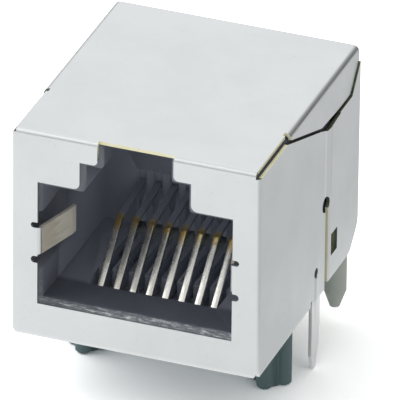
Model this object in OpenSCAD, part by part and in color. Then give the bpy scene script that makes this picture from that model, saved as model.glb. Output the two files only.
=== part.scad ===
// Shielded right-angle board jack for an eight-way modular plug.
// X runs across the face, Y from the face to the rear and Z up from the board.
// The sub-parts are drawn with Y = 0 on the face. placed() then moves them, so
// that the origin lies on the board plane midway between the two board pegs.

/* [Shield] */
// Width across the side plates at the face
shield_w = 15.4; // [15.3:0.1:16.4]
// Depth from the face to the rear edge of the side plates
shield_d = 16.8; // [16.8:0.1:18]
// Height from the board plane to the top plate
shield_h = 13.6; // [13.6:0.1:15]
// Thickness of the sheet
sheet_t = 0.2; // [0.16:0.01:0.24]
// Outer radius of the folds at the face
fold_r = 0.3; // [0.26:0.01:0.36]
// Outer radius of the folds between the top plate and its flaps
flap_fold_r = 0.4; // [0.36:0.01:0.5]
// Width of the open joint between the top plate or its flaps and the side plates
seam_w = 0.23; // [0.14:0.01:0.26]

/* [Plug opening] */
// Width of the main part of the opening
opening_w = 12.1; // [12:0.05:12.3]
// Height of the lower edge above the board
opening_z = 2.2; // [2.1:0.05:2.4]
// Height of the top edge of the main part
opening_top = 10.3; // [10.1:0.05:10.5]
// Width of the first step
step_w = 6.9; // [6.7:0.05:7.1]
// Height of the top edge of the first step
step_top = 12.1; // [11.9:0.05:12.2]
// Width of the latch slot above the steps
slot_w = 4.7; // [4.5:0.05:4.9]
// Depth of the plug cavity behind the face
cavity_d = 10.6; // [10.4:0.05:10.8]
// Width of the bevel round the cavity mouth
mouth_bevel = 0.26; // [0.15:0.01:0.3]

/* [Board side] */
// Length of the pegs, solder pins and contact tails below the board plane
leg_len = 4.55; // [3:0.05:5]
// Distance between the centres of the board pegs
peg_spacing = 11.43; // [11.2:0.01:11.6]
// Distance of the board pegs behind the face
peg_y = 7.6; // [7.4:0.05:7.8]
// Diameter over the ribs of a board peg
peg_d = 2.7; // [2.5:0.05:2.9]
// Distance between the centres of the rear posts
post_spacing = 13.6; // [13.4:0.05:13.6]
// Diameter of a rear post
post_d = 1.38; // [1.2:0.01:1.4]
// Length of a rear post below the board plane
post_len = 3.6; // [2.6:0.05:3.6]

/* [Contacts] */
// Distance between neighbouring contacts
contact_pitch = 1.016; // [1:0.002:1.03]
// Width of a contact
contact_w = 0.35; // [0.3:0.01:0.45]
// Thickness of a contact
contact_t = 0.25; // [0.2:0.01:0.28]
// Rise of the spring towards the rear, in degrees
spring_angle = 43; // [38:1:45]
// Distance of the rear row of tails in front of the rear edge
tail_row_back = 1; // [0.9:0.05:1.2]
// Distance between the two rows of tails
tail_row_gap = 2.54; // [2.4:0.01:2.6]

/* [Hidden] */
$fn = 48;
eps = 0.01;

// Shield, derived
half_w = shield_w / 2;
inner_w = half_w - sheet_t;
top_under = shield_h - sheet_t;
eave_z = shield_h - flap_fold_r;
top_edge_x = half_w - fold_r + 0.02;
flap_y = 5.2;
notch_l = 0.35;
notch_d = 0.14;

// Lower edge of a flap and the matching upper edge of the side plate
slope_y = shield_d - 6.35;
slope_z = shield_h - 2.3;
level_z = shield_h - 2.5;
shoulder_y = shield_d - 1.45;
rear_rise_z = shield_h - 0.95;
seam_y = flap_y - seam_w * (slope_y - flap_y) / (eave_z - slope_z);
vent_y = [slope_y + 0.1, slope_y + 1, shield_d - 3.4];
vent_drop = [0.45, 0.05];
rise_gap = 0.12;

// Outward set of the side plates, slit and latch arm
set_out = 0.1;
set_y = [shield_d - 5.6, shield_d - 4.8];
slit_y = shield_d - 5.32;
slit_gap = 0.3;
slit_z = 5.75;
relief_r = 0.5;
relief_y = slit_y - 0.2;
arm_z = 0.38;
arm_cut = 1.41;
arm_r = 1.2;
window_y = [shield_d - 4.7, shield_d - 3.65];
window_z = [1.9, 3.35];

// Lower front corners and rounded inner corners of the face
corner_cut = [0.26, 0.42];
step_r = 0.4;
slot_r = 0.3;

// Shield contact tabs at both sides of the opening
tab_z = [5.46, 7.28];
tab_slot_z = [4.9, 7.23];
tab_slot_w = [0.44, 0.36];
tab_slot_x = 0.42;
tab_reach = 3.49;
tab_inset = 0.98;

// Solder pins of the side plates
pin_y = [shield_d - 7.55, shield_d - 6.2];
pin_tip_y = pin_y[0] + 0.53;
pin_tip_r = 0.22;
pin_step_z = -2.1;
pin_step = 0.12;
pin_taper = 1.1;
rib_y = pin_y[0] + 0.61;
rib_r = 0.2;
rib_h = 0.07;
pin_hole_z = 1.9;
pin_hole_r = 0.3;

// Rear cover
cover_y = shield_d - 0.1;
cover_bottom = 0.9;
wing_y = window_y[0] + 0.35;
wing_z = [1.2, 9.6];
wing_x = inner_w + set_out;
lance_z = [2.05, 3.2];
lance_h = 0.18;
lip_l = 1.4;
lip_half_w = half_w - 0.9;

// Housing and cavity
side_gap = 0.05;
housing_half_w = inner_w - side_gap;
housing_top = top_under - side_gap;
housing_d = shield_d - 4.4;
cavity_inset = 0.17;
floor_z = opening_z + mouth_bevel;
cavity_half_w = opening_w / 2 - cavity_inset;
cavity_top = opening_top - 0.35;
step_half_w = step_w / 2 - mouth_bevel;
step_ceiling = step_top - 0.35;
slot_half_w = slot_w / 2 - mouth_bevel;
latch_ledge_d = 2.6;
latch_d = 8.5;
recess_z = [4.4, 8.2];
recess_w = 0.72;
recess_d = 4.2;
edge_bevel = 0.2;

// Contacts
contact_count = 8;
hair_r = 0.4;
hair_y = 3.78;
run_z = 0.84;
tail_bend_r = 0.3;
knee = [6.95, 4.83];
knee_r = 0.5;
tip_angle = 7;
tip_y = cavity_d + 0.15;
channel_w = contact_w + 0.24;
channel_y = 2.87;
channel_z = run_z - contact_t / 2;

// Contact carrier
carrier_d = shield_d - 0.4;
carrier_top = 8.6;
carrier_half_w = housing_half_w - 0.1;
tongue_half_w = 4.7;
tongue_top = 2;
comb_z = [floor_z, 6.2];
comb_play = 0.25;

// Board legs
peg_rib_r = 0.5;
peg_bevel = 0.15;
post_y = shield_d - tail_row_back;
post_cone = [1.1, 0.31];

module placed() {
    translate([0, -peg_y, 0]) children();
}

// Draws its children on both sides of the middle plane
module both_sides() {
    children();
    mirror([1, 0, 0]) children();
}

// Extrudes an outline drawn as (Y, Z) from x0 to x1
module along_x(x0, x1) {
    translate([x0, 0, 0])
        rotate([90, 0, 90])
            linear_extrude(height = x1 - x0) children();
}

// Extrudes an outline drawn as (X, Z) from y0 to y1
module along_y(y0, y1) {
    translate([0, y1, 0])
        rotate([90, 0, 0])
            linear_extrude(height = y1 - y0) children();
}

function arc(centre, r, a0, a1, steps = 8) = [
    for (i = [0:steps])
        let (a = a0 + (a1 - a0) * i / steps)
            centre + r * [cos(a), sin(a)]
];

// Unit vector across the step from p to q
function across(p, q) = [p[1] - q[1], q[0] - p[0]] / norm(q - p);

// Unit vectors across the steps before and after point i of a path
function cross_in(path, i) = across(path[max(i - 1, 0)], path[max(i, 1)]);
function cross_out(path, i) =
    let (last = len(path) - 1)
        across(path[min(i, last - 1)], path[min(i + 1, last)]);

// Point i of a path moved sideways by d, mitred between its two steps
function moved(path, i, d) =
    let (a = cross_in(path, i), b = cross_out(path, i))
        path[i] + d * (a + b) / (1 + a * b);

// Outline of a strip of thickness t that follows a path
function strip(path, t) = concat(
    [for (i = [0:len(path) - 1]) moved(path, i, t / 2)],
    [for (i = [len(path) - 1:-1:0]) moved(path, i, -t / 2)]
);

// Quarter ring of sheet in the quadrant x > 0, y > 0
module fold(r) {
    intersection() {
        difference() {
            circle(r = r);
            circle(r = r - sheet_t);
        }
        square(r + 1);
    }
}

// ---- Shield shell ----

// Face, corner fold and side plate of one side, seen from above
module plan_outline() {
    steps = 10;
    rise = [
        for (i = [0:steps])
            [
                half_w - sheet_t / 2 + set_out * (1 - cos(180 * i / steps)) / 2,
                set_y[0] + (set_y[1] - set_y[0]) * i / steps
            ]
    ];
    square([half_w - fold_r, sheet_t]);
    translate([half_w - fold_r, fold_r]) mirror([0, 1, 0]) fold(fold_r);
    path = concat(
        [[half_w - sheet_t / 2, fold_r]],
        rise,
        [[half_w - sheet_t / 2 + set_out, shield_d]]
    );
    polygon(strip(path, sheet_t));
}

// Side plate in front of the slit and above the latch arm
module side_outline() {
    polygon([
        [-1, 0],
        [slit_y - slit_gap / 2, 0],
        [slit_y - slit_gap / 2, slit_z],
        [shield_d, slit_z],
        [shield_d, rear_rise_z - rise_gap + 0.05],
        [shoulder_y + 0.07, level_z - seam_w + 0.05],
        [vent_y[2] + 0.05, level_z - seam_w + 0.05],
        [vent_y[2], level_z - seam_w - vent_drop[1]],
        [vent_y[1], slope_z - seam_w - vent_drop[0]],
        [vent_y[0], slope_z - seam_w - vent_drop[1]],
        [slope_y, slope_z - seam_w],
        [seam_y, eave_z],
        [-1, eave_z]
    ]);
}

// Latch arm: the rear part of the side plate behind the slit
module arm_outline() {
    first = [shield_d - arm_cut - arm_r * tan(22.5), arm_z + arm_r];
    second = [shield_d - arm_r, arm_z + arm_cut + arm_r * tan(22.5)];
    polygon(concat(
        [[slit_y + slit_gap / 2, arm_z]],
        arc(first, arm_r, -90, -45),
        arc(second, arm_r, -45, 0),
        [[shield_d, slit_z + eps], [slit_y + slit_gap / 2, slit_z + eps]]
    ));
}

// Solder pin with a rounded tip, one piece with the side plate
module pin_outline() {
    tip = [pin_tip_y, pin_tip_r - leg_len];
    rear = pin_y[1] - pin_step;
    front = pin_y[0];
    polygon(concat(
        [
            [front, 1],
            [front, pin_taper - leg_len]
        ],
        arc(tip, pin_tip_r, 195, 345),
        [
            [rear, pin_taper + 0.3 - leg_len],
            [rear, pin_step_z],
            [pin_y[1], pin_step_z + 0.1],
            [pin_y[1], 1]
        ]
    ));
}

module opening_outline() {
    translate([-opening_w / 2, opening_z])
        square([opening_w, opening_top - opening_z]);
    translate([-step_w / 2, opening_z])
        square([step_w, step_top - opening_z]);
    translate([-slot_w / 2, opening_z])
        square([slot_w, shield_h]);
    both_sides() {
        translate([step_w / 2, opening_top]) corner_round(step_r);
        translate([slot_w / 2, step_top]) corner_round(slot_r);
    }
}

// What rounding takes off a corner of the face that points at the opening
module corner_round(r) {
    difference() {
        translate([-eps, -eps]) square(r + eps);
        translate([r, r]) circle(r = r);
    }
}

// Reliefs above and below the root of a tab
module tab_slots() {
    for (i = [0, 1])
        translate([opening_w / 2 - eps, tab_slot_z[i]]) {
            w = tab_slot_w[i];
            square([tab_slot_x - w / 2, w]);
            translate([tab_slot_x - w / 2, w / 2]) circle(d = w);
        }
}

// Sprung tab, seen from above: folded back from the face and set inwards
module tab_path() {
    root = opening_w / 2;
    path = concat(
        [[root + 0.45, sheet_t / 2]],
        arc([root + 0.12, 0.32], 0.22, 270, 196, 5),
        [
            [root - tab_inset + 0.06, tab_reach - 0.42],
            [root - tab_inset, tab_reach]
        ]
    );
    polygon(strip(path, sheet_t));
}

// Top plate and flap of one side, seen from the face
module hood_profile() {
    translate([0, top_under]) square([half_w - flap_fold_r, sheet_t]);
    translate([half_w - flap_fold_r, eave_z]) fold(flap_fold_r);
    translate([inner_w, slope_z - 1]) square([sheet_t, eave_z - slope_z + 1]);
}

// Region over the lower edge of a flap
module flap_outline() {
    polygon([
        [flap_y, shield_h + 1],
        [flap_y, eave_z],
        [slope_y, slope_z],
        [slope_y + 3.1, level_z],
        [shoulder_y, level_z],
        [shield_d - 0.05, rear_rise_z],
        [shield_d, rear_rise_z],
        [shield_d, shield_h + 1]
    ]);
}

module side_walls() {
    difference() {
        union() {
            intersection() {
                linear_extrude(height = eave_z) plan_outline();
                along_x(0, half_w + 1) {
                    side_outline();
                    arm_outline();
                }
            }
            along_x(inner_w, half_w) pin_outline();
            translate([half_w - rib_r + rib_h, rib_y, pin_step_z])
                cylinder(r = rib_r, h = pin_hole_z - pin_hole_r - pin_step_z);
        }
        // Keeps the rib on the outside of the plate
        translate([0, rib_y - 1, -leg_len]) cube([inner_w, 2, leg_len + 4]);
        translate([0, rib_y, pin_hole_z]) rotate([0, 90, 0])
            cylinder(r = pin_hole_r, h = half_w + 1);
        translate([0, relief_y, slit_z]) rotate([0, 90, 0])
            cylinder(r = relief_r, h = half_w + 1);
        translate([half_w - 1, window_y[0], window_z[0]])
            cube([2, window_y[1] - window_y[0], window_z[1] - window_z[0]]);
        // Notch in the lower edge just in front of the pin
        translate([half_w - 1, pin_y[0] - 0.26, -eps]) cube([2, 0.26, 0.34]);
    }
}

// Face above the eaves with the fold to the top plate, and the front of the top plate
module brow() {
    translate([0, 0, eave_z - 1])
        cube([top_edge_x, sheet_t, shield_h - fold_r - eave_z + 1]);
    along_x(0, top_edge_x)
        translate([fold_r, shield_h - fold_r]) mirror([1, 0]) fold(fold_r);
    translate([0, fold_r, top_under])
        cube([top_edge_x, flap_y - fold_r + eps, sheet_t]);
}

module shell_half() {
    difference() {
        union() {
            side_walls();
            brow();
            intersection() {
                along_y(flap_y, shield_d) hood_profile();
                along_x(-eps, half_w + 1) flap_outline();
            }
        }
        translate([top_edge_x - notch_d, flap_y - notch_l, eave_z])
            cube([1, notch_l, 1]);
        along_y(-1, fold_r) lower_corner();
    }
}

// Cut across the lower front corner of the face
module lower_corner() {
    polygon([
        [half_w - corner_cut[0], -1],
        [half_w - corner_cut[0], 0],
        [half_w, corner_cut[1]],
        [half_w + 1, corner_cut[1]],
        [half_w + 1, -1]
    ]);
}

module shield_shell() {
    color("gainsboro") placed() both_sides() {
        difference() {
            shell_half();
            along_y(-1, fold_r) opening_outline();
            along_y(-1, fold_r + 1) tab_slots();
        }
        translate([0, 0, tab_z[0]])
            linear_extrude(height = tab_z[1] - 0.05 - tab_z[0]) tab_path();
    }
}

// ---- Rear cover ----

// Rear wall, corner fold and wing of one side, seen from above
module cover_plan() {
    translate([0, cover_y - sheet_t]) square([wing_x - fold_r, sheet_t]);
    translate([wing_x - fold_r, cover_y - fold_r]) fold(fold_r);
    translate([wing_x - sheet_t, wing_y]) square([sheet_t, cover_y - fold_r - wing_y]);
}

// Outline of the wing over the latch arm
module wing_outline() {
    polygon([
        [wing_y, wing_z[0]],
        [shield_d - arm_cut - 0.4, wing_z[0]],
        [shield_d, wing_z[0] + arm_cut + 0.4],
        [shield_d, wing_z[1]],
        [wing_y + 1.6, wing_z[1]],
        [wing_y, wing_z[1] - 3]
    ]);
}

module cover_half() {
    intersection() {
        linear_extrude(height = shield_h) cover_plan();
        along_x(0, half_w + 1) wing_outline();
    }
    // Wall between the corners
    translate([0, cover_y - sheet_t, cover_bottom])
        cube([half_w - 1.4, sheet_t, top_under - fold_r - cover_bottom]);
    translate([0, cover_y - sheet_t, wing_z[0] + arm_cut + 0.4])
        cube([wing_x - fold_r, sheet_t, top_under - 1 - wing_z[0] - arm_cut]);
    // Lip under the top plate
    along_x(0, lip_half_w)
        translate([cover_y - fold_r, top_under - fold_r]) fold(fold_r);
    translate([0, cover_y - fold_r - lip_l, top_under - sheet_t])
        cube([lip_half_w, lip_l, sheet_t]);
    // Lance that snaps into the window of the latch arm
    translate([0, 0, lance_z[0]])
        linear_extrude(height = lance_z[1] - lance_z[0])
            polygon([
                [wing_x - eps, wing_y],
                [wing_x + lance_h, wing_y + 0.05],
                [wing_x + eps, window_y[1] - 0.1],
                [wing_x - eps, window_y[1] - 0.1]
            ]);
}

module rear_cover() {
    color("silver") placed() both_sides() cover_half();
}

// ---- Contacts ----

function contact_x(i) = (i - (contact_count + 1) / 2) * contact_pitch;
function tail_y(i) = shield_d - tail_row_back - (i % 2) * tail_row_gap;

// Centre line of a contact from its tail to its free tip
function contact_path(i) =
    let (
        y = tail_y(i),
        bend = tail_bend_r,
        top = run_z + hair_r,
        tip = [tip_y, knee[1] + (tip_y - knee[0]) * tan(tip_angle)],
        half_turn = (spring_angle - tip_angle) / 2,
        back = knee_r * tan(half_turn),
        on = knee - back * [cos(spring_angle), sin(spring_angle)],
        hub = on + knee_r * [sin(spring_angle), -cos(spring_angle)]
    )
    concat(
        [[y, -leg_len]],
        arc([y - bend, run_z - bend], bend, 0, 90, 5),
        arc([hair_y, top], hair_r, 270, 90 + spring_angle, 10),
        arc(hub, knee_r, 90 + spring_angle, 90 + tip_angle, 6),
        [tip]
    );

module contact(i) {
    x = contact_x(i);
    color("gold") placed()
        along_x(x - contact_w / 2, x + contact_w / 2)
            polygon(strip(contact_path(i), contact_t));
}

// Room for all contacts as seen from the side, wider than them by gap
module contact_set(gap = 0) {
    for (i = [1:contact_count]) {
        x = contact_x(i);
        along_x(x - contact_w / 2 - gap, x + contact_w / 2 + gap)
            polygon(strip(contact_path(i), contact_t));
    }
}

// ---- Housing ----

// Funnel round a mouth: a box that widens by the bevel towards the face
module flare(half_x, z0, z1) {
    b = mouth_bevel;
    y0 = sheet_t - eps;
    y1 = sheet_t + b;
    intersection() {
        translate([0, 0, z0 - b])
            linear_extrude(height = z1 - z0 + 2 * b)
                polygon([
                    [-half_x - b - eps, y0], [half_x + b + eps, y0],
                    [half_x, y1], [-half_x, y1]
                ]);
        along_x(-half_x - 1, half_x + 1)
            polygon([
                [y0, z0 - b - eps], [y0, z1 + b + eps],
                [y1, z1], [y1, z0]
            ]);
    }
}

module box(half_x, y0, y1, z0, z1) {
    translate([-half_x, y0, z0]) cube([2 * half_x, y1 - y0, z1 - z0]);
}

module cavity() {
    y0 = sheet_t - eps;
    box(cavity_half_w, y0, cavity_d, floor_z, cavity_top);
    box(step_half_w, y0, cavity_d, floor_z, step_ceiling);
    box(slot_half_w, y0, latch_d, floor_z, housing_top + 1);
    // Room behind the ledges that hold the latch of the plug
    box(step_half_w, sheet_t + latch_ledge_d, latch_d, floor_z, housing_top - 0.5);
    flare(cavity_half_w, floor_z, cavity_top);
    flare(step_half_w, floor_z, step_ceiling);
    flare(slot_half_w, floor_z, housing_top + 1);
    // Rounded corners of the steps
    both_sides() {
        along_y(y0, cavity_d)
            translate([step_half_w, cavity_top]) corner_round(step_r);
        along_y(y0, sheet_t + latch_ledge_d)
            translate([slot_half_w, step_ceiling]) corner_round(slot_r);
    }
    // Recess behind each shield tab
    box(cavity_half_w + recess_w, y0, recess_d, recess_z[0], recess_z[1]);
}

module housing_block() {
    y0 = sheet_t;
    linear_extrude(height = housing_top)
        polygon([
            [-housing_half_w, y0 + edge_bevel],
            [-housing_half_w + edge_bevel, y0],
            [housing_half_w - edge_bevel, y0],
            [housing_half_w, y0 + edge_bevel],
            [housing_half_w, housing_d],
            [-housing_half_w, housing_d]
        ]);
}

// Bevel along the top front edge, which clears the fold of the shield
module brow_bevel() {
    along_x(-half_w, half_w)
        polygon([
            [sheet_t - eps, housing_top - edge_bevel],
            [sheet_t - eps, housing_top + 1],
            [sheet_t + edge_bevel + 1, housing_top + 1],
            [sheet_t + edge_bevel, housing_top]
        ]);
}

// Bevels along the top side edges, which clear the folds of the flaps
module hood_bevels() {
    both_sides()
        along_y(0, housing_d + 1)
            polygon([
                [housing_half_w + eps, housing_top - edge_bevel],
                [housing_half_w + eps, housing_top + 1],
                [housing_half_w - edge_bevel - 1, housing_top + 1],
                [housing_half_w - edge_bevel, housing_top]
            ]);
}

// Board peg: four rounded ribs round a core
module peg() {
    rib = peg_d / 2 - peg_rib_r;
    for (a = [0:90:270])
        rotate([0, 0, a])
            translate([rib, 0, -leg_len]) {
                translate([0, 0, peg_bevel]) cylinder(r = peg_rib_r, h = leg_len - peg_bevel + 0.5);
                cylinder(r1 = peg_rib_r - peg_bevel, r2 = peg_rib_r, h = peg_bevel);
            }
    translate([-rib, -rib, 0] / 2 - [0, 0, leg_len - peg_bevel])
        cube([rib, rib, leg_len - peg_bevel + 0.5]);
    translate([0, 0, -leg_len]) cylinder(r = rib, h = leg_len);
}

module housing() {
    color("#3d424a") placed() {
        difference() {
            housing_block();
            brow_bevel();
            hood_bevels();
            cavity();
            // Channels in the floor for the springs and the runs below them
            for (i = [1:contact_count])
                translate([contact_x(i) - channel_w / 2, channel_y, channel_z])
                    cube([channel_w, housing_d, floor_z - channel_z + eps]);
            // Comb: the tips move up and down in these slots
            for (i = [1:contact_count])
                translate([contact_x(i) - channel_w / 2, cavity_d - eps, comb_z[0] - eps])
                    cube([channel_w, tip_y - cavity_d + comb_play, comb_z[1] - comb_z[0]]);
            // Seat of the tongue of the contact carrier
            box(tongue_half_w, cavity_d, housing_d + 1, channel_z, tongue_top);
        }
        both_sides()
            translate([peg_spacing / 2, peg_y, 0]) peg();
    }
}

// ---- Contact carrier ----

module post() {
    translate([0, 0, post_cone[0] - post_len])
        cylinder(d = post_d, h = post_len - post_cone[0] + eps);
    translate([0, 0, -post_len])
        cylinder(r1 = post_cone[1], r2 = post_d / 2, h = post_cone[0]);
}

module contact_carrier() {
    color("#7f867f") placed() {
        difference() {
            union() {
                box(carrier_half_w, housing_d, carrier_d, 0, carrier_top);
                box(tongue_half_w, cavity_d, housing_d + eps, channel_z, tongue_top);
            }
            contact_set();
        }
        both_sides()
            translate([post_spacing / 2, post_y, 0]) post();
    }
}

shield_shell();
rear_cover();
housing();
contact_carrier();
contact(1);  // contact_1
contact(2);  // contact_2
contact(3);  // contact_3
contact(4);  // contact_4
contact(5);  // contact_5
contact(6);  // contact_6
contact(7);  // contact_7
contact(8);  // contact_8
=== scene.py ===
"""Looks of a shielded right-angle board jack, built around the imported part."""

import logging
import math
from dataclasses import dataclass, field
from enum import Enum

import bmesh
import bpy
from mathutils import Matrix, Vector
from mathutils.bvhtree import BVHTree


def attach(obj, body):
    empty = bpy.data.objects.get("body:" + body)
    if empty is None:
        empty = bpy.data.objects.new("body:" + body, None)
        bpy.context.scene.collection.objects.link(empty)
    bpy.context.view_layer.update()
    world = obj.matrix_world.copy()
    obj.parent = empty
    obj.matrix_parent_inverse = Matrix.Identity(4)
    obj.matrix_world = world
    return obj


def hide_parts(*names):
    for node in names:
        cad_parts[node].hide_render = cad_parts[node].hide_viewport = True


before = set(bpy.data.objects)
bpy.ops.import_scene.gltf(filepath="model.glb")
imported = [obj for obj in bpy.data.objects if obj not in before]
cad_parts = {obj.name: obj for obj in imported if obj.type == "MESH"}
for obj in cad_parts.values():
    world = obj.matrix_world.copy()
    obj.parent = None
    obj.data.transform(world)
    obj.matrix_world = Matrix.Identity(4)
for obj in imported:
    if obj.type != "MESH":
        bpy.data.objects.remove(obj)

LOG = logging.getLogger("board_jack")
BODY = "root"
MM = 0.001
MERGE_REACH = 0.0005 * MM

Span = tuple[float, float]
Place = tuple[float, float, float]
Box = tuple[Span, Span, Span]
Colour = tuple[float, float, float, float]
Socket = bpy.types.NodeSocket
Value = Socket | float | tuple


class Slot(Enum):
    """Slot names that new pieces are passed with; nothing reads them."""

    SHIELD = "shield"
    HOUSING = "housing"
    CONTACT = "contact"


class Row(Enum):
    """Row of solder holes that a contact's tail goes to."""

    FRONT = 1
    REAR = 0


class Face(Enum):
    """Kinds of face on the sheet metal, by the number of their material."""

    PLATED = 0
    BRIGHT_EDGE = 1
    # sheared edge painted dark, as painted shade
    SHADED_EDGE = 2
    # tab: lighter copy of the plating, painted light against the cavity's shade
    TAB = 3


@dataclass(frozen=True)
class Grain:
    """Noise on a surface: grains per metre, finer octaves and their weight.

    Where it makes relief, it has a height in metres and a strength, 0 to 1.
    """

    grains: float | Place
    detail: float
    roughness: float
    height: float = 0.0
    strength: float = 0.0


class NodeBoard:
    """Node tree of a material or world, with short calls to add and join nodes."""

    def __init__(self, owner: bpy.types.ID, place: str = "Object") -> None:
        """Empties the owner's tree.

        Args:
            owner: material or world.
            place: coordinate output that places are taken from.
        """
        owner.use_nodes = True
        self.owner = owner
        self.tree = owner.node_tree
        self.tree.nodes.clear()
        self.place = self.add("ShaderNodeTexCoord").outputs[place]

    @classmethod
    def of_material(cls, name: str) -> "NodeBoard":
        """Starts an empty material of that name."""
        return cls(bpy.data.materials.new(name))

    def add(self, kind: str, **settings: object) -> bpy.types.Node:
        """Adds a node.

        Args:
            kind: type of the node.
            settings: properties of the node by name.

        Returns:
            The new node.
        """
        node = self.tree.nodes.new(kind)
        for key, value in settings.items():
            setattr(node, key, value)
        return node

    def join(self, source: Value, target: Socket) -> None:
        """Joins an output to an input, or sets a plain value on the input.

        Args:
            source: output socket or plain value.
            target: input socket.
        """
        if isinstance(source, Socket):
            self.tree.links.new(source, target)
        else:
            target.default_value = source

    def math(self, operation: str, first: Value, second: Value = 0.0) -> Socket:
        """Adds a math node.

        Args:
            operation: name of the operation.
            first: socket or number for the first input.
            second: socket or number for the second input.

        Returns:
            The output socket.
        """
        node = self.add("ShaderNodeMath", operation=operation)
        self.join(first, node.inputs[0])
        self.join(second, node.inputs[1])
        return node.outputs[0]

    def product(self, first: Value, *others: Value) -> Socket:
        """Multiplies values, one after the other.

        Args:
            first: socket or number.
            others: sockets or numbers.

        Returns:
            The output socket.
        """
        result = first
        for other in others:
            result = self.math("MULTIPLY", result, other)
        return result

    def mean(self, first: Socket, second: Socket, share: float) -> Socket:
        """Weighted mean of two values.

        Args:
            first: socket of the first value.
            second: socket of the second value.
            share: weight of the first value, 0 to 1.

        Returns:
            The output socket.
        """
        rest = self.product(second, 1.0 - share)
        return self.math("ADD", self.product(first, share), rest)

    def ramp(self, value: Value, low: float, high: float, start: float = 0.0, end: float = 1.0) -> Socket:
        """Maps a value smoothly from one range to another.

        Args:
            value: socket or number.
            low: value that gives the start.
            high: value that gives the end.
            start: result at the low value.
            end: result at the high value.

        Returns:
            The output socket.
        """
        node = self.add("ShaderNodeMapRange", interpolation_type="SMOOTHSTEP")
        self.join(value, node.inputs["Value"])
        self.join(low, node.inputs["From Min"])
        self.join(high, node.inputs["From Max"])
        self.join(start, node.inputs["To Min"])
        self.join(end, node.inputs["To Max"])
        return node.outputs["Result"]

    def noise(self, grain: Grain) -> Socket:
        """Adds a noise texture.

        Args:
            grain: the noise, with one number of grains or one for each axis.

        Returns:
            The value socket, 0 to 1.
        """
        node = self.add("ShaderNodeTexNoise")
        place = self.place
        scale = grain.grains
        if isinstance(scale, tuple):
            stretch = self.add("ShaderNodeMapping")
            self.join(scale, stretch.inputs["Scale"])
            self.join(place, stretch.inputs["Vector"])
            place = stretch.outputs["Vector"]
            scale = 1.0
        self.join(place, node.inputs["Vector"])
        self.join(scale, node.inputs["Scale"])
        self.join(grain.detail, node.inputs["Detail"])
        self.join(grain.roughness, node.inputs["Roughness"])
        return node.outputs["Fac"]

    def blend(self, share: Value, first: Value, second: Value) -> Socket:
        """Blends two colours.

        Args:
            share: socket or number, the share of the second colour.
            first: socket or colour.
            second: socket or colour.

        Returns:
            The colour socket.
        """
        node = self.add("ShaderNodeMix", data_type="RGBA")
        colours = [socket for socket in node.inputs if socket.type == "RGBA"]
        self.join(share, node.inputs["Factor"])
        self.join(first, colours[0])
        self.join(second, colours[1])
        return next(socket for socket in node.outputs if socket.type == "RGBA")

    def axes(self) -> tuple[Socket, Socket, Socket]:
        """Splits the place into its coordinates.

        Returns:
            The sockets of X, Y and Z.
        """
        node = self.add("ShaderNodeSeparateXYZ")
        self.join(self.place, node.inputs["Vector"])
        return node.outputs["X"], node.outputs["Y"], node.outputs["Z"]

    def bump(self, value: Socket, grain: Grain, under: Socket | None = None) -> Socket:
        """Adds a bump node.

        Args:
            value: value socket of the noise.
            grain: the noise, for its height and strength.
            under: normal socket of a bump below this one.

        Returns:
            The normal socket.
        """
        node = self.add("ShaderNodeBump")
        self.join(grain.strength, node.inputs["Strength"])
        self.join(grain.height, node.inputs["Distance"])
        self.join(value, node.inputs["Height"])
        if under is not None:
            self.join(under, node.inputs["Normal"])
        return node.outputs["Normal"]

    def surface(self, source: Socket, output: str = "ShaderNodeOutputMaterial") -> None:
        """Ends the tree in an output node of that type, with the source as its surface."""
        self.join(source, self.add(output).inputs["Surface"])

    def shader(
        self,
        colour: Value,
        roughness: Value,
        normal: Socket,
        metallic: Value = 0.0,
        specular: float = 0.5,
    ) -> bpy.types.Material:
        """Ends the tree in a principled shader.

        Args:
            colour: socket or colour of the surface.
            roughness: socket or number.
            normal: normal socket.
            metallic: socket or number.
            specular: level of the plain reflection.

        Returns:
            The material.
        """
        node = self.add("ShaderNodeBsdfPrincipled")
        self.join(colour, node.inputs["Base Color"])
        self.join(roughness, node.inputs["Roughness"])
        self.join(normal, node.inputs["Normal"])
        self.join(metallic, node.inputs["Metallic"])
        self.join(specular, node.inputs["Specular IOR Level"])
        self.surface(node.outputs["BSDF"])
        return self.owner


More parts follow.
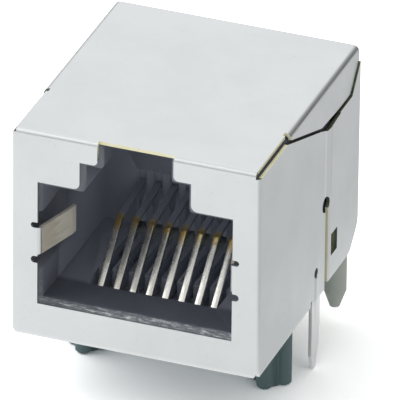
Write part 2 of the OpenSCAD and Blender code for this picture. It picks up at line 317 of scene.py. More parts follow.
@dataclass(frozen=True)
class PlatedSheet:
    """Matt nickel plating on rolled sheet, with a painted highlight and a painted shade beside the side
    plates' bend, and paler pins.
    """

    colour: Colour = (0.742, 0.768, 0.774, 1.0)
    cloud: Colour = (0.722, 0.748, 0.754, 1.0)
    speck: Colour = (0.42, 0.42, 0.42, 1.0)
    # painted highlight beside the side plates' bend; also the paler tone of the pins and the brightest
    # tone of the tabs' painted light
    pale_and_highlight: Colour = (0.90, 0.92, 0.92, 1.0)
    # painted shade beside the side plates' bend
    bend_shade: Colour = (0.60, 0.62, 0.61, 1.0)
    clouds: Grain = Grain(260.0, 4.0, 0.6)
    rolling: Grain = Grain((9000.0, 900.0, 900.0), 2.0, 0.6, 0.003 * MM, 0.25)
    peel: Grain = Grain(5200.0, 2.0, 0.5, 0.006 * MM, 0.35)
    specks: Grain = Grain(3600.0, 1.0, 0.4)
    cloud_span: Span = (0.35, 0.7)
    speck_span: Span = (0.70, 0.76)
    speck_share: float = 0.10
    wear_of_clouds: float = 0.7
    variation_span: Span = (0.3, 0.7)
    roughness: Span = (0.29, 0.37)
    bend_highlight_y: float = 3.64 * MM
    bend_highlight_share: float = 0.75
    bend_shade_y: float = 4.38 * MM
    bend_shade_share: float = 0.5
    bend_fade: Span = (0.05 * MM, 0.15 * MM)
    bend_x: float = 7.5 * MM
    bend_z: Span = (5.8 * MM, 6.4 * MM)
    bend_top: float = 11.08 * MM
    pale_pins_z: Span = (-0.2 * MM, 0.3 * MM)

    def bend_light_and_pins(self, board: NodeBoard, tone: Socket) -> Socket:
        """Adds the painted highlight and painted shade beside the side plates' bend, and the paler pins.

        Args:
            board: board of the material.
            tone: colour so far.

        Returns:
            The colour with the marks.
        """
        across, depth, height = board.axes()
        side = board.product(
            board.math("GREATER_THAN", board.math("ABSOLUTE", across), self.bend_x),
            board.ramp(height, *self.bend_z),
            board.math("LESS_THAN", height, self.bend_top),
        )
        # a painted highlight band and a painted shade band across the bend
        for place, share, line in (
            (self.bend_highlight_y, self.bend_highlight_share, self.pale_and_highlight),
            (self.bend_shade_y, self.bend_shade_share, self.bend_shade),
        ):
            off = board.math("ABSOLUTE", board.math("SUBTRACT", depth, place))
            band = board.ramp(off, *self.bend_fade, share, 0.0)
            tone = board.blend(board.product(band, side), tone, line)
        # pins paler below the shell's bottom edge
        return board.blend(board.ramp(height, *self.pale_pins_z, 1.0, 0.0), tone, self.pale_and_highlight)

    def material(self) -> bpy.types.Material:
        """Builds the material: clouded plating, rolling grain and a few specks.

        Returns:
            The material.
        """
        board = NodeBoard.of_material("plated_sheet")
        clouds = board.noise(self.clouds)
        rolling = board.noise(self.rolling)
        peel = board.noise(self.peel)
        specks = board.ramp(board.noise(self.specks), *self.speck_span)
        tone = board.blend(board.ramp(clouds, *self.cloud_span), self.colour, self.cloud)
        tone = board.blend(board.product(specks, self.speck_share), tone, self.speck)
        tone = self.bend_light_and_pins(board, tone)
        variation = board.mean(clouds, rolling, self.wear_of_clouds)
        rough = board.ramp(variation, *self.variation_span, *self.roughness)
        normal = board.bump(rolling, self.rolling, board.bump(peel, self.peel))
        return board.shader(tone, rough, normal, 1.0)


@dataclass(frozen=True)
class PaintedLightTab:
    """Lighter, warmer copy of the plating on the ground tabs, painted light against the cavity's shade,
    and brighter towards the back.
    """

    colour: Colour = (0.76, 0.70, 0.58, 1.0)
    # brightest tone of the tab's painted light
    pale_and_highlight: Colour = (0.99, 0.95, 0.82, 1.0)
    streaks: Grain = Grain((900.0, 900.0, 3500.0), 3.0, 0.6, 0.004 * MM, 0.4)
    bright_y: Span = (-7.0 * MM, -4.6 * MM)
    back_brightening: Span = (0.15, 0.75)
    variation_span: Span = (0.6, 1.25)
    streak_span: Span = (0.3, 0.7)
    roughness: Span = (0.42, 0.55)
    metallic: float = 0.35

    def material(self) -> bpy.types.Material:
        """Builds the material: streaks along the tab over a warm grey, lighter than the plating as
        painted light.

        Returns:
            The material.
        """
        board = NodeBoard.of_material("painted_light_tab")
        _, depth, _ = board.axes()
        streaks = board.noise(self.streaks)
        variation = board.math("ADD", board.ramp(depth, *self.bright_y, *self.back_brightening), streaks)
        tone = board.blend(board.ramp(variation, *self.variation_span), self.colour, self.pale_and_highlight)
        rough = board.ramp(streaks, *self.streak_span, *self.roughness)
        return board.shader(tone, rough, board.bump(streaks, self.streaks), self.metallic)


@dataclass(frozen=True)
class ShearedEdge:
    """Bare base metal where the plated strip was sheared."""

    name: str
    colour: Colour
    burnished: Colour
    metallic: float
    patches: Grain = Grain(900.0, 3.0, 0.6)
    tears: Grain = Grain(9000.0, 2.0, 0.6, 0.008 * MM, 0.5)
    patch_span: Span = (0.35, 0.65)
    tear_span: Span = (0.3, 0.7)
    roughness: Span = (0.38, 0.55)

    def material(self) -> bpy.types.Material:
        """Builds the material: fine tear lines over patches of two tones.

        Returns:
            The material.
        """
        board = NodeBoard.of_material(self.name)
        patches = board.noise(self.patches)
        tears = board.noise(self.tears)
        tone = board.blend(board.ramp(patches, *self.patch_span), self.colour, self.burnished)
        rough = board.ramp(tears, *self.tear_span, *self.roughness)
        return board.shader(tone, rough, board.bump(tears, self.tears), self.metallic)


@dataclass(frozen=True)
class HousingPlastic:
    """Glass-filled housing plastic, dull blue-grey, scuffed at the mouth.

    The upper and deeper inner walls are painted paler, as painted light against the cavity's shade, and
    the channels and comb slots of the contacts are painted paler still, as painted light in their deep
    shade.
    """

    colour: Colour = (0.082, 0.090, 0.114, 1.0)
    cloud: Colour = (0.092, 0.100, 0.126, 1.0)
    scuffed: Colour = (0.20, 0.215, 0.23, 1.0)
    worn: Colour = (0.66, 0.68, 0.69, 1.0)
    peg: Colour = (0.135, 0.205, 0.215, 1.0)
    # painted light on the upper and deeper inner walls, against the cavity's shade
    inner_light: Colour = (0.31, 0.335, 0.40, 1.0)
    # painted light in the contact channels and comb slots, against their deep shade
    pit_light: Colour = (0.58, 0.62, 0.72, 1.0)
    clouds: Grain = Grain(420.0, 3.0, 0.55)
    mould: Grain = Grain(8200.0, 3.0, 0.6, 0.01 * MM, 0.45)
    scuffs: Grain = Grain(2600.0, 4.0, 0.7)
    rubs: Grain = Grain((1500.0, 7000.0, 7000.0), 4.0, 0.7)
    cloud_span: Span = (0.35, 0.65)
    mould_span: Span = (0.25, 0.75)
    roughness: Span = (0.48, 0.62)
    specular: float = 0.42
    scuff_span: Span = (0.38, 0.66)
    scuff_share: Span = (0.25, 1.0)
    rub_span: Span = (0.45, 0.68)
    inner_light_share: Span = (0.45, 1.0)
    inner_light_z: Span = (2.6 * MM, 6.0 * MM)
    inner_light_y: Span = (-5.0 * MM, 3.0 * MM)
    inside_x: Span = (6.6 * MM, 6.8 * MM)
    trough_y: Span = (-4.9 * MM, -4.3 * MM)
    pit_z: Span = (2.30 * MM, 2.43 * MM)
    pit_floor: Span = (0.6 * MM, 0.9 * MM)
    pit_y: Span = (-2.56 * MM, -2.46 * MM)
    comb_y: Span = (3.03 * MM, 3.12 * MM)
    comb_x: Span = (4.9 * MM, 5.1 * MM)
    mouth_y: Span = (-7.4 * MM, -6.85 * MM)
    lip_z: Span = (2.35 * MM, 2.6 * MM)
    peg_z: Span = (0.4 * MM, -0.4 * MM)

    def inner_wall_light(self, board: NodeBoard, tone: Socket) -> Socket:
        """Adds painted light on the inner walls, and more painted light in the channels and comb slots.

        Args:
            board: board of the material.
            tone: colour so far.

        Returns:
            The colour with both.
        """
        across, depth, height = board.axes()
        off = board.math("ABSOLUTE", across)
        deep = board.ramp(depth, *self.inner_light_y, *self.inner_light_share)
        high = board.math(
            "MAXIMUM", board.ramp(height, *self.inner_light_z), board.ramp(depth, *self.trough_y)
        )
        inside = board.ramp(off, *self.inside_x, 1.0, 0.0)
        tone = board.blend(board.product(deep, high, inside), tone, self.inner_light)
        pits = board.product(board.ramp(height, *self.pit_z, 1.0, 0.0), board.ramp(depth, *self.pit_y))
        pit_light_share = board.product(
            board.math("MAXIMUM", pits, board.ramp(depth, *self.comb_y)),
            board.ramp(height, *self.pit_floor),
            board.ramp(off, *self.comb_x, 1.0, 0.0),
        )
        return board.blend(pit_light_share, tone, self.pit_light)

    def mouth(self, board: NodeBoard, tone: Socket) -> Socket:
        """Adds the scuffs round the mouth and the rubs along its lower lip.

        Args:
            board: board of the material.
            tone: colour so far.

        Returns:
            The colour with both.
        """
        _, depth, height = board.axes()
        near = board.ramp(depth, *self.mouth_y, 1.0, 0.0)
        scuffs = board.ramp(board.noise(self.scuffs), *self.scuff_span, *self.scuff_share)
        tone = board.blend(board.product(near, scuffs), tone, self.scuffed)
        low = board.ramp(height, *self.lip_z, 1.0, 0.0)
        rubs = board.ramp(board.noise(self.rubs), *self.rub_span)
        return board.blend(board.product(near, low, rubs), tone, self.worn)

    def material(self) -> bpy.types.Material:
        """Builds the material: mould texture, painted light on the inner walls, mouth and cooler pegs.

        Returns:
            The material.
        """
        board = NodeBoard.of_material("housing_plastic")
        _, _, height = board.axes()
        clouds = board.noise(self.clouds)
        mould = board.noise(self.mould)
        tone = board.blend(board.ramp(clouds, *self.cloud_span), self.colour, self.cloud)
        tone = self.mouth(board, self.inner_wall_light(board, tone))
        tone = board.blend(board.ramp(height, *self.peg_z), tone, self.peg)
        rough = board.ramp(mould, *self.mould_span, *self.roughness)
        return board.shader(tone, rough, board.bump(mould, self.mould), specular=self.specular)


@dataclass(frozen=True)
class CarrierPlastic:
    """Lighter olive-grey plastic of the contact carrier."""

    colour: Colour = (0.50, 0.55, 0.49, 1.0)
    cloud: Colour = (0.54, 0.59, 0.53, 1.0)
    clouds: Grain = Grain(500.0, 4.0, 0.6)
    mould: Grain = Grain(7600.0, 3.0, 0.6, 0.01 * MM, 0.4)
    cloud_span: Span = (0.35, 0.65)
    mould_span: Span = (0.25, 0.75)
    roughness: Span = (0.5, 0.64)
    specular: float = 0.4

    def material(self) -> bpy.types.Material:
        """Builds the material: mould texture with faint flow clouds.

        Returns:
            The material.
        """
        board = NodeBoard.of_material("carrier_plastic")
        clouds = board.noise(self.clouds)
        mould = board.noise(self.mould)
        tone = board.blend(board.ramp(clouds, *self.cloud_span), self.colour, self.cloud)
        rough = board.ramp(mould, *self.mould_span, *self.roughness)
        return board.shader(tone, rough, board.bump(mould, self.mould), specular=self.specular)


@dataclass(frozen=True)
class ContactPlating:
    """Nickel-plated strip, gold at the knee, and painted shade beyond it."""

    nickel: Colour = (0.50, 0.49, 0.46, 1.0)
    # lighter tone: drawing lines on the springs, and the painted highlight and painted reflection
    highlight_and_lines: Colour = (0.86, 0.85, 0.80, 1.0)
    gold: Colour = (0.83, 0.62, 0.22, 1.0)
    toned: Colour = (0.60, 0.42, 0.17, 1.0)
    # painted shade on the strip beyond the knee, dull so that it fades into the cavity
    far_shade: Colour = (0.30, 0.32, 0.38, 1.0)
    clouds: Grain = Grain(1500.0, 3.0, 0.6)
    lines: Grain = Grain((26000.0, 900.0, 900.0), 2.0, 0.5, 0.002 * MM, 0.35)
    # painted reflection, lighter or darker from contact to contact
    reflection_strips: Grain = Grain((640.0, 160.0, 160.0), 1.0, 0.5)
    lines_share: float = 0.5
    lines_reflection_span: Span = (0.42, 0.62)
    toned_span: Span = (0.35, 0.7)
    rough_span: Span = (0.3, 0.7)
    roughness: Span = (0.2, 0.32)
    foot_highlight_z: Span = (1.7 * MM, 2.2 * MM)
    gold_z: Span = (4.8 * MM, 5.5 * MM)
    gold_drift: float = 1.2 * MM
    far_shade_y: Span = (-0.8 * MM, -0.1 * MM)
    far_shade_rougher: float = 0.35
    far_shade_duller: float = 0.85
    run_z: Span = (1.2 * MM, 2.4 * MM)

    def material(self) -> bpy.types.Material:
        """Builds the material: feet with a painted highlight, springs with drawing lines and a painted
        reflection that changes from contact to contact, gold knees and tips in painted shade.

        Returns:
            The material.
        """
        board = NodeBoard.of_material("contact_plating")
        _, depth, height = board.axes()
        clouds = board.noise(self.clouds)
        lines = board.noise(self.lines)
        reflection_strips = board.noise(self.reflection_strips)
        # painted highlight on the feet
        foot_highlight = board.ramp(height, *self.foot_highlight_z, 1.0, 0.0)
        lines_and_reflection = board.ramp(board.mean(lines, reflection_strips, self.lines_share), *self.lines_reflection_span)
        base = board.blend(board.math("MAXIMUM", foot_highlight, lines_and_reflection), self.nickel, self.highlight_and_lines)
        gold = board.blend(board.ramp(clouds, *self.toned_span), self.gold, self.toned)
        edge = board.math("ADD", height, board.product(clouds, self.gold_drift))
        tone = board.blend(board.ramp(edge, *self.gold_z), base, gold)
        # painted shade beyond the knee
        far = board.product(board.ramp(depth, *self.far_shade_y), board.ramp(height, *self.run_z))
        tone = board.blend(far, tone, self.far_shade)
        rough = board.ramp(clouds, *self.rough_span, *self.roughness)
        rough = board.math("ADD", rough, board.product(far, self.far_shade_rougher))
        metal = board.math("SUBTRACT", 1.0, board.product(far, self.far_shade_duller))
        return board.shader(tone, rough, board.bump(lines, self.lines), metal)


def placed(name: str, mesh: bpy.types.Mesh) -> bpy.types.Object:
    """Makes an object of a mesh and puts it in the scene.

    Args:
        name: name of the object and of the mesh.
        mesh: the mesh, with its place in its points.

    Returns:
        The new object.
    """
    mesh.name = name
    made = bpy.data.objects.new(name, mesh)
    bpy.context.scene.collection.objects.link(made)
    return made


def made_plain(source: bpy.types.Object) -> bpy.types.Mesh:
    """Turns an object with a modifier into a plain mesh, and deletes the object.

    Args:
        source: the object.

    Returns:
        The plain mesh.
    """
    graph = bpy.context.evaluated_depsgraph_get()
    mesh = bpy.data.meshes.new_from_object(source.evaluated_get(graph))
    bpy.data.objects.remove(source)
    return mesh


def merge_points(mesh: bpy.types.Mesh, outwards: bool = False) -> bool:
    """Merges the points of a mesh that lie in one place.

    Args:
        mesh: the mesh, changed in place.
        outwards: whether its faces are turned outwards too.

    Returns:
        Whether it still has as many faces.
    """
    work = bmesh.new()
    work.from_mesh(mesh)
    before = len(work.faces)
    bmesh.ops.remove_doubles(work, verts=work.verts, dist=MERGE_REACH)
    if outwards:
        bmesh.ops.recalc_face_normals(work, faces=work.faces)
    same = before == len(work.faces)
    work.to_mesh(mesh)
    work.free()
    return same


def smooth(mesh: bpy.types.Mesh, sharp_from: float) -> None:
    """Shades a mesh smooth, apart from edges sharper than that angle in degrees."""
    mesh.shade_smooth()
    mesh.set_sharp_from_angle(angle=math.radians(sharp_from))


def finished(piece: bpy.types.Object, slot: Slot, *nodes: str) -> None:
    """Ties a finished piece to the frame.

    Args:
        piece: the piece, in place.
        slot: not used.
        nodes: nodes of the part that it stands for.
    """
    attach(piece, BODY)
    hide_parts(*nodes)
    LOG.info("%s: %d faces", piece.name, len(piece.data.polygons))


@dataclass
class Shield:
    """Folded shell and rear cover, with bare metal at the sheared edges.

    The boxes are in mm. A cut edge in a box of the light cuts takes the light olive, partly its own tone
    and partly painted light against the slit's shade; one in a box of the plated cuts is plated as the
    skin is; any other is painted dark, as painted shade.
    """

    nodes: tuple[str, ...] = ("shield_shell", "rear_cover")
    sheet: float = 0.2 * MM
    sheet_margin: float = 1.35
    below_skin: float = 0.002 * MM
    # cut edges in these boxes take the light olive tone
    light_cuts: tuple[Box, ...] = (
        ((-8.0, 8.0), (3.45, 4.30), (0.3, 5.2)),
        ((7.0, 8.0), (-7.2, -2.2), (12.6, 13.7)),
        ((-2.6, 2.6), (-8.0, -7.0), (12.7, 13.7)),
    )
    plated_cuts: tuple[Box, ...] = (
        ((-8.0, 8.0), (1.0, 3.4), (-4.6, 2.4)),
        ((-8.0, 8.0), (-7.7, -7.3), (0.0, 12.6)),
        ((-8.0, -7.0), (-7.7, -7.2), (12.6, 13.7)),
    )
    # tabs in this box take the lighter tab copy of the plating, painted light against the cavity's shade
    tabs: Box = ((-6.4, 6.4), (-7.35, -1.0), (4.5, 8.0))
    plating: PlatedSheet = field(default_factory=PlatedSheet)
    # olive of the base metal, lightened against the slit's shade: partly its own tone, partly painted
    # light
    bright_edge: ShearedEdge = ShearedEdge(
        "bright_sheared_edge", (0.90, 0.87, 0.54, 1.0), (0.94, 0.92, 0.68, 1.0), 0.2
    )
    # the same base metal painted dark, as painted shade on edges that sit in shade
    shaded_edge: ShearedEdge = ShearedEdge(
        "painted_shade_edge", (0.09, 0.105, 0.065, 1.0), (0.18, 0.20, 0.13, 1.0), 0.5
    )
    tab: PaintedLightTab = field(default_factory=PaintedLightTab)

    def merged_copy(self, node: str) -> bpy.types.Mesh:
        """Copies a node's mesh and merges it to a closed one, with its own shading.

        Args:
            node: name of the node.

        Returns:
            The merged mesh, with no materials.
        """
        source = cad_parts[node].data
        normals = [tuple(normal.vector) for normal in source.corner_normals]
        mesh = source.copy()
        same = merge_points(mesh)
        if same:
            mesh.normals_split_custom_set(normals)
        mesh.materials.clear()
        LOG.info("%s: closed copy, own shading kept: %s", node, same)
        return mesh

    @staticmethod
    def within(place: Vector, box: Box) -> bool:
        """Whether a place in metres is in a box in mm."""
        return all(low <= size / MM <= high for size, (low, high) in zip(place, box))

    def kind(self, place: Vector, skin: bool) -> Face:
        """Sorts a face.

        Args:
            place: middle of the face in metres.
            skin: whether the face is the sheet's skin.

        Returns:
            The kind of the face.
        """
        if self.within(place, self.tabs):
            return Face.TAB
        if skin or any(self.within(place, box) for box in self.plated_cuts):
            return Face.PLATED
        light_cut = any(self.within(place, box) for box in self.light_cuts)
        return Face.BRIGHT_EDGE if light_cut else Face.SHADED_EDGE

    def sort_faces(self, mesh: bpy.types.Mesh) -> None:
        """Gives each face the number of its material.

        A face of the sheet's skin has another skin one sheet behind it. A
        sheared face has much more metal behind it.

        Args:
            mesh: closed mesh of a sheet metal piece, changed in place.
        """
        points = [point.co.copy() for point in mesh.vertices]
        tree = BVHTree.FromPolygons(points, [tuple(face.vertices) for face in mesh.polygons])
        for face in mesh.polygons:
            start = Vector(face.center) - face.normal * self.below_skin
            _, _, _, depth = tree.ray_cast(start, -face.normal)
            skin = depth is not None and depth <= self.sheet * self.sheet_margin
            face.material_index = self.kind(face.center, skin).value

    def build(self) -> None:
        """Builds a dressed copy of each node."""
        finishes = {
            Face.PLATED: self.plating.material(),
            Face.BRIGHT_EDGE: self.bright_edge.material(),
            Face.SHADED_EDGE: self.shaded_edge.material(),
            Face.TAB: self.tab.material(),
        }
        for node in self.nodes:
            mesh = self.merged_copy(node)
            for kind in Face:
                mesh.materials.append(finishes[kind])
            self.sort_faces(mesh)
            finished(placed("dressed_" + node, mesh), Slot.SHIELD, node)


@dataclass
class Mouldings:
    """Housing with its pegs, and the contact carrier with its posts.

    The trough, a box in mm, opens the contact channels into one at the front.
    """

    trough: Box = ((-4.1, 4.1), (-4.73, -2.6), (1.2, 2.47))
    sharp_from: float = 24.0
    housing: HousingPlastic = field(default_factory=HousingPlastic)
    carrier: CarrierPlastic = field(default_factory=CarrierPlastic)

    def cutter(self) -> bpy.types.Object:
        """Makes the box that cuts the trough.

        Returns:
            The box.
        """
        mesh = bpy.data.meshes.new("trough_cutter")
        work = bmesh.new()
        bmesh.ops.create_cube(work, size=1.0)
        for corner in work.verts:
            for axis, (low, high) in enumerate(self.trough):
                corner.co[axis] = (high if corner.co[axis] > 0 else low) * MM
        work.to_mesh(mesh)
        work.free()
        return placed("trough_cutter", mesh)

    def troughed(self, node: str) -> bpy.types.Object:
        """Makes a closed copy of the housing with the trough cut.

        Args:
            node: name of the housing's node.

        Returns:
            The new piece, in place, with no materials.
        """
        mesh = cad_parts[node].data.copy()
        merge_points(mesh)
        uncut = placed("uncut_" + node, mesh)
        cutter = self.cutter()
        cut = uncut.modifiers.new("trough", "BOOLEAN")
        cut.operation = "DIFFERENCE"
        cut.solver = "EXACT"
        cut.object = cutter
        made = made_plain(uncut)
        bpy.data.objects.remove(cutter)
        smooth(made, self.sharp_from)
        made.materials.clear()
        return placed("troughed_" + node, made)

    def build(self) -> None:
        """Builds the troughed housing and dresses both moulded pieces."""
        piece = self.troughed("housing")
        piece.data.materials.append(self.housing.material())
        finished(piece, Slot.HOUSING, "housing")
        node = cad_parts["contact_carrier"]
        node.material_slots[0].material = self.carrier.material()
        LOG.info("contact_carrier: dressed")


@dataclass
class StripTree:
    """Geometry Nodes that sweep a rounded strip along a centre line."""

    width: float
    thickness: float
    rounding: float
    rounding_steps: int = 3
    name: str = "contact_strip"

    def declare(self, tree: bpy.types.NodeTree) -> None:
        """Adds the named inputs and the output to the tree.

        Args:
            tree: the empty tree.
        """
        sockets = tree.interface
        sockets.new_socket("Centre line", in_out="INPUT", socket_type="NodeSocketGeometry")
        for label, value in (
            ("Strip width", self.width),
            ("Strip thickness", self.thickness),
            ("Edge rounding", self.rounding),
            ("Sideways place", 0.0),
        ):
            socket = sockets.new_socket(label, in_out="INPUT", socket_type="NodeSocketFloat")
            socket.default_value = value
        sockets.new_socket("Finish", in_out="INPUT", socket_type="NodeSocketMaterial")
        sockets.new_socket("Strip", in_out="OUTPUT", socket_type="NodeSocketGeometry")

    def build(self) -> bpy.types.NodeTree:
        """Builds the tree.

        Returns:
            The tree.
        """
        tree = bpy.data.node_groups.new(self.name, "GeometryNodeTree")
        self.declare(tree)
        start = tree.nodes.new("NodeGroupInput")
        curve = tree.nodes.new("GeometryNodeMeshToCurve")
        tilt = tree.nodes.new("GeometryNodeSetCurveNormal")
        tilt.mode = "MINIMUM_TWIST"
        profile = tree.nodes.new("GeometryNodeCurvePrimitiveQuadrilateral")
        rounded = tree.nodes.new("GeometryNodeFilletCurve")
        rounded.mode = "POLY"
        rounded.inputs["Count"].default_value = self.rounding_steps
        sweep = tree.nodes.new("GeometryNodeCurveToMesh")
        sweep.inputs["Fill Caps"].default_value = True
        shift = tree.nodes.new("ShaderNodeCombineXYZ")
        move = tree.nodes.new("GeometryNodeTransform")
        real = tree.nodes.new("GeometryNodeRealizeInstances")
        dress = tree.nodes.new("GeometryNodeSetMaterial")
        end = tree.nodes.new("NodeGroupOutput")
        for source, output, target, entry in (
            (start, "Centre line", curve, "Mesh"),
            (curve, "Curve", tilt, "Curve"),
            (tilt, "Curve", sweep, "Curve"),
            (start, "Strip width", profile, "Width"),
            (start, "Strip thickness", profile, "Height"),
            (profile, "Curve", rounded, "Curve"),
            (start, "Edge rounding", rounded, "Radius"),
            (rounded, "Curve", sweep, "Profile Curve"),
            (start, "Sideways place", shift, "X"),
            (sweep, "Mesh", move, "Geometry"),
            (shift, "Vector", move, "Translation"),
            (move, "Geometry", real, "Geometry"),
            (real, "Geometry", dress, "Geometry"),
            (start, "Finish", dress, "Material"),
            (dress, "Geometry", end, "Strip"),
        ):
            tree.links.new(source.outputs[output], target.inputs[entry])
        return tree

    @staticmethod
    def inputs(tree: bpy.types.NodeTree) -> dict[str, str]:
        """Lists the inputs of a tree.

        Args:
            tree: the tree.

        Returns:
            The identifier of each input by its name.
        """
        return {
            item.name: item.identifier
            for item in tree.interface.items_tree
            if item.item_type == "SOCKET" and item.in_out == "INPUT"
        }


@dataclass
class ContactSet:
    """Eight sprung contacts, from the solder tail round the hairpin to the free tip.

    Sizes are in mm and angles in degrees. Depths, which end in _y, are from
    the front of the shield, and heights, which end in _z, from the board.
    """

    count: int = 8
    pitch: float = 1.016
    width: float = 0.40
    thickness: float = 0.25
    rounding: float = 0.035
    axis_y: float = 7.6
    shield_d: float = 16.8
    leg: float = 4.55
    row_back: float = 1.0
    row_gap: float = 2.54
    run_z: float = 0.84
    tail_bend: float = 0.3
    tail_steps: int = 8
    hair_r: float = 0.4
    hair_y: float = 3.78
    hair_steps: int = 20
    knee_y: float = 6.95
    knee_z: float = 4.83
    knee_r: float = 0.5
    knee_steps: int = 10
    spring_angle: float = 43.0
    tip_angle: float = 7.0
    tip_y: float = 10.75
    sharp_from: float = 50.0
    finish: ContactPlating = field(default_factory=ContactPlating)

    def arc(self, centre: Span, radius: float, first: float, last: float, steps: int) -> list[Span]:
        """Points on an arc.

        Args:
            centre: centre of the arc, as (y, z).
            radius: its radius.
            first: start angle in degrees.
            last: end angle in degrees.
            steps: number of steps.

        Returns:
            The points, as (y, z).
        """
        points = []
        for step in range(steps + 1):
            angle = math.radians(first + (last - first) * step / steps)
            points.append((centre[0] + radius * math.cos(angle), centre[1] + radius * math.sin(angle)))
        return points

    def centre_line(self, row: Row) -> list[Span]:
        """Centre line of a contact.

        Args:
            row: row of solder holes of its tail.

        Returns:
            The points from its tail to its tip, as (y, z) in mm.
        """
        tail_y = self.shield_d - self.row_back - row.value * self.row_gap
        spring = math.radians(self.spring_angle)
        tip = math.radians(self.tip_angle)
        tip_z = self.knee_z + (self.tip_y - self.knee_y) * math.tan(tip)
        back = self.knee_r * math.tan((spring - tip) / 2)
        hub_y = self.knee_y - back * math.cos(spring) + self.knee_r * math.sin(spring)
        hub_z = self.knee_z - back * math.sin(spring) - self.knee_r * math.cos(spring)
        bend = (tail_y - self.tail_bend, self.run_z - self.tail_bend)
        hair = (self.hair_y, self.run_z + self.hair_r)
        off_spring = 90 + self.spring_angle
        off_tip = 90 + self.tip_angle
        return [
            (tail_y, -self.leg),
            *self.arc(bend, self.tail_bend, 0, 90, self.tail_steps),
            *self.arc(hair, self.hair_r, 270, off_spring, self.hair_steps),
            *self.arc((hub_y, hub_z), self.knee_r, off_spring, off_tip, self.knee_steps),
            (self.tip_y, tip_z),
        ]

    def swept(self, number: int, tree: bpy.types.NodeTree, finish: bpy.types.Material) -> bpy.types.Mesh:
        """Sweeps the strip of one contact.

        Args:
            number: number of the contact, from 1.
            tree: tree that sweeps a strip.
            finish: material of the strip.

        Returns:
            The closed mesh, in place.
        """
        line = self.centre_line(Row(number % 2))
        points = [(0.0, (y - self.axis_y) * MM, z * MM) for y, z in line]
        mesh = bpy.data.meshes.new(f"contact_line_{number}")
        mesh.from_pydata(points, [(step, step + 1) for step in range(len(points) - 1)], [])
        carrier = placed(f"contact_line_{number}", mesh)
        modifier = carrier.modifiers.new("strip", "NODES")
        modifier.node_group = tree
        names = StripTree.inputs(tree)
        modifier[names["Strip width"]] = self.width * MM
        modifier[names["Strip thickness"]] = self.thickness * MM
        modifier[names["Edge rounding"]] = self.rounding * MM
        modifier[names["Sideways place"]] = (number - (self.count + 1) / 2) * self.pitch * MM
        modifier[names["Finish"]] = finish
        made = made_plain(carrier)
        merge_points(made, outwards=True)
        smooth(made, self.sharp_from)
        return made

    def build(self) -> None:
        """Sweeps each contact and puts it in place of its node."""
        tree = StripTree(self.width * MM, self.thickness * MM, self.rounding * MM).build()
        finish = self.finish.material()
        for number in range(1, self.count + 1):
            piece = placed(f"sprung_contact_{number}", self.swept(number, tree, finish))
            finished(piece, Slot.CONTACT, f"contact_{number}")


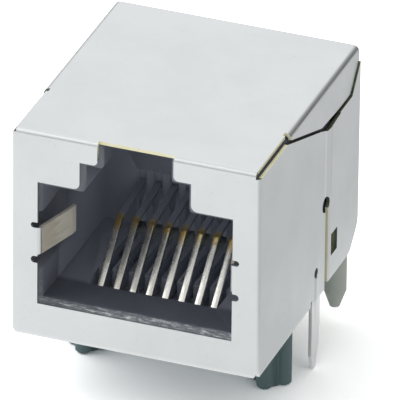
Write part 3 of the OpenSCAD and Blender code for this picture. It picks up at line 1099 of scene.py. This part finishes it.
@dataclass
class Studio:
    """Pale floor, light tent, one soft lamp and the camera.

    The camera's distance, its aim and its lens are in mm, its angles in degrees.
    """

    floor_z: float = -4.55 * MM
    floor_half: float = 1.2
    paint: float = 0.80
    paint_change: float = 0.01
    paint_clouds: Grain = Grain(60.0, 3.0, 0.55)
    paint_span: Span = (0.3, 0.7)
    shown: float = 2.1
    lift: float = 0.18
    # painted shade on the floor to the camera's right, seen by other rays only
    shade_reach: Span = (14.0 * MM, 19.24 * MM)
    floor_shade: float = 0.32
    band: float = 0.20
    band_height: Span = (0.10, 0.30)
    tent: float = 1.27
    zenith: float = 1.0
    zenith_height: Span = (0.75, 1.0)
    front_share: float = 0.88
    front_depth: Span = (-0.5, 0.3)
    dark_way: Place = (0.80, 0.60, 0.0)
    dark_cap: Span = (0.45, 0.80)
    dark: float = 0.27
    key_place: Place = (-0.62, -0.12, 0.44)
    key_radiance: float = 1.5
    key_size: float = 0.8
    azimuth: float = 20.213
    elevation: float = 29.176
    roll: float = -0.671
    aim: Place = (0.0, -0.1, 6.0)
    aim_right: float = 1.173
    aim_up: float = 0.400
    distance: float = 649.8
    lens: float = 997.8
    sensor: float = 36.0
    clip_start: float = 0.01
    clip_end: float = 10.0

    def build(self) -> None:
        """Builds the floor, the light and the camera."""
        self.floor()
        self.world()
        self.key()
        self.camera()
        LOG.info("studio: floor, tent, key and camera")

    def level(self) -> Vector:
        """Level direction to the camera's right."""
        azimuth = math.radians(self.azimuth)
        return Vector((math.cos(azimuth), math.sin(azimuth), 0.0))

    def floor(self) -> None:
        """Lays a wide plain floor that the object's feet touch."""
        mesh = bpy.data.meshes.new("floor")
        half = self.floor_half
        sides = ((-half, -half), (half, -half), (half, half), (-half, half))
        mesh.from_pydata([(x, y, self.floor_z) for x, y in sides], [], [(0, 1, 2, 3)])
        mesh.materials.append(self.floor_paint())
        floor = placed("floor", mesh)

    def floor_paint(self) -> bpy.types.Material:
        """Builds matt white paint, shown brighter to the camera.

        To the camera's right, past the reach of the painted shade, other rays find it dimmer: a painted
        shade on the floor.

        Returns:
            The material.
        """
        board = NodeBoard.of_material("floor_paint")
        rays = board.add("ShaderNodeLightPath").outputs
        seen = rays["Is Camera Ray"]
        across, along, _ = board.axes()
        level = self.level()
        reach = board.math("ADD", board.product(across, level.x), board.product(along, level.y))
        # painted shade on the floor past this reach, not seen by camera rays
        shaded = board.ramp(reach, *self.shade_reach, 0.0, self.floor_shade)
        shaded = board.product(shaded, board.math("SUBTRACT", 1.0, seen))
        left = board.math("SUBTRACT", 1.0, shaded)
        clouds = board.noise(self.paint_clouds)
        tone = board.ramp(clouds, *self.paint_span, self.paint, self.paint + self.paint_change)
        gain = board.math("ADD", 1.0, board.product(seen, self.shown - 1.0))
        paint = board.add("ShaderNodeBsdfDiffuse")
        board.join(board.product(tone, gain, left), paint.inputs["Color"])
        glow = board.add("ShaderNodeEmission")
        board.join(board.product(rays["Is Glossy Ray"], self.lift, left), glow.inputs["Strength"])
        both = board.add("ShaderNodeAddShader")
        board.join(paint.outputs["BSDF"], both.inputs[0])
        board.join(glow.outputs["Emission"], both.inputs[1])
        board.surface(both.outputs["Shader"])
        return board.owner

    def world(self) -> None:
        """Sets up the tent, dim at the horizon and at the back right, white to the camera."""
        world = bpy.data.worlds.new("room")
        bpy.context.scene.world = world
        board = NodeBoard(world, "Generated")
        _, along, height = board.axes()
        rise = board.ramp(height, *self.band_height, self.band, self.tent)
        fall = board.ramp(height, *self.zenith_height, 1.0, self.zenith / self.tent)
        front = board.ramp(along, *self.front_depth, self.front_share, 1.0)
        way = board.add("ShaderNodeVectorMath", operation="DOT_PRODUCT")
        board.join(board.place, way.inputs[0])
        board.join(self.dark_way, way.inputs[1])
        keep = board.ramp(way.outputs["Value"], *self.dark_cap, 1.0, self.dark)
        level = board.product(rise, fall, front, keep)
        seen = board.add("ShaderNodeLightPath").outputs["Is Camera Ray"]
        room = board.add("ShaderNodeBackground")
        board.join(board.math("MAXIMUM", level, seen), room.inputs["Strength"])
        board.surface(room.outputs["Background"], "ShaderNodeOutputWorld")

    def key(self) -> None:
        """Hangs a broad square lamp on the left, above, that faces the object."""
        data = bpy.data.lights.new("key", "AREA")
        data.shape = "SQUARE"
        data.size = self.key_size
        data.energy = self.key_radiance * math.pi * self.key_size**2
        lamp = bpy.data.objects.new("key", data)
        lamp.location = self.key_place
        lamp.rotation_euler = (-Vector(self.key_place)).to_track_quat("-Z", "Y").to_euler()
        bpy.context.scene.collection.objects.link(lamp)

    def camera(self) -> None:
        """Sets up a long lens at the viewing angle."""
        azimuth = math.radians(self.azimuth)
        elevation = math.radians(self.elevation)
        roll = math.radians(self.roll)
        back = Vector((
            math.sin(azimuth) * math.cos(elevation),
            -math.cos(azimuth) * math.cos(elevation),
            math.sin(elevation),
        ))
        level = self.level()
        rise = back.cross(level)
        right = level * math.cos(roll) - rise * math.sin(roll)
        up = level * math.sin(roll) + rise * math.cos(roll)
        target = Vector(self.aim) + right * self.aim_right + up * self.aim_up
        data = bpy.data.cameras.new("camera")
        data.sensor_width = self.sensor
        data.lens = self.lens
        data.clip_start = self.clip_start
        data.clip_end = self.clip_end
        camera = bpy.data.objects.new("camera", data)
        turn = Matrix((right, up, back)).transposed()
        camera.matrix_world = Matrix.Translation((target + back * self.distance) * MM) @ turn.to_4x4()
        bpy.context.scene.collection.objects.link(camera)
        bpy.context.scene.camera = camera


def main() -> None:
    """Builds every group of pieces in order."""
    logging.basicConfig(level=logging.INFO, format="%(message)s")
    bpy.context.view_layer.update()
    bpy.context.scene.view_settings.view_transform = "Standard"
    for group in (Shield(), Mouldings(), ContactSet(), Studio()):
        LOG.info("building %s", type(group).__name__)
        group.build()


if __name__ == "__main__":
    main()
